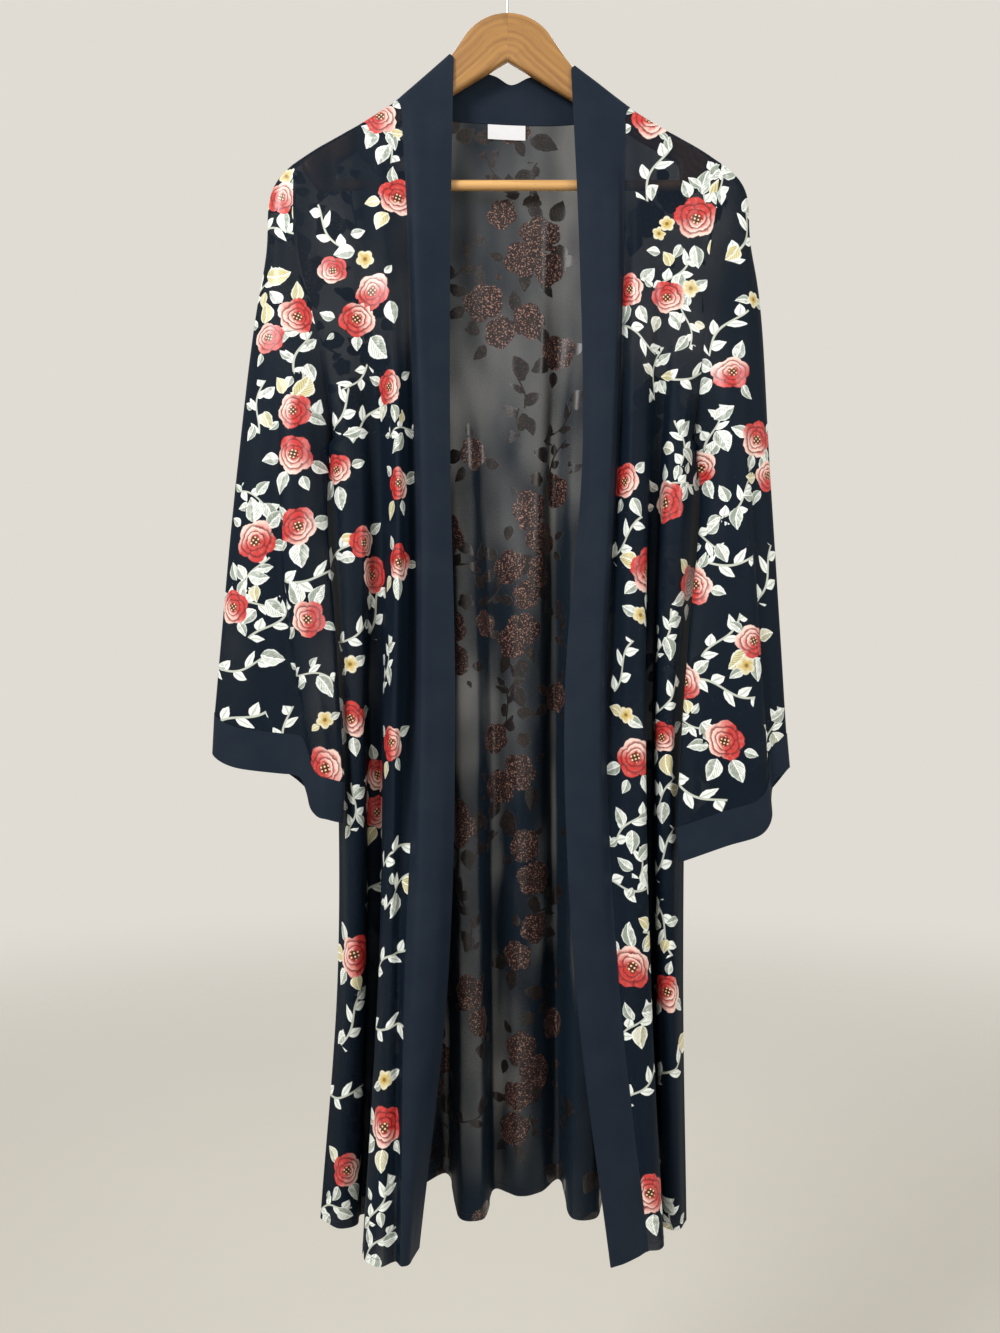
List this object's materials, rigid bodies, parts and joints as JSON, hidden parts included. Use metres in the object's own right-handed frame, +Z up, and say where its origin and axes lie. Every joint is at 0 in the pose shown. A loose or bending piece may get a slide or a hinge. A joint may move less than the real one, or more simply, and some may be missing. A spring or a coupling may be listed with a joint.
{
  "type": "kimono coat on a wooden hanger",
  "caption": "Long open kimono coat of sheer floral mesh with plain dark bands and cuffs, hanging in folds on a wooden hanger with a wire hook.",
  "frame": {"origin": "highest point inside the wire hook, where it rests on a rail", "axes": "+Z up, the coat's open front looks along -Y, +X to the right of someone facing the front"},
  "size_m": [0.5787, 0.1424, 1.2845],
  "materials": {
    "mesh_cloth": "sheer printed mesh, slight sheen",
    "plain_cloth": "matte, close weave",
    "label_cloth": "satin ribbon",
    "wood": "varnished",
    "bar_wood": "varnished, lighter",
    "steel": "polished wire"
  },
  "bodies": {
    "root": {"back_panel": "mesh_cloth", "front_left": "mesh_cloth", "front_right": "mesh_cloth", "sleeve_left": "mesh_cloth", "sleeve_right": "mesh_cloth", "cuff_left": "plain_cloth", "cuff_right": "plain_cloth", "front_band_left": "plain_cloth", "front_band_right": "plain_cloth", "neck_band": "plain_cloth", "label": "label_cloth", "hanger_arm_left": "wood", "hanger_arm_right": "wood", "hanger_bar": "bar_wood", "hanger_hook": "steel"}
  },
  "joints": []
}
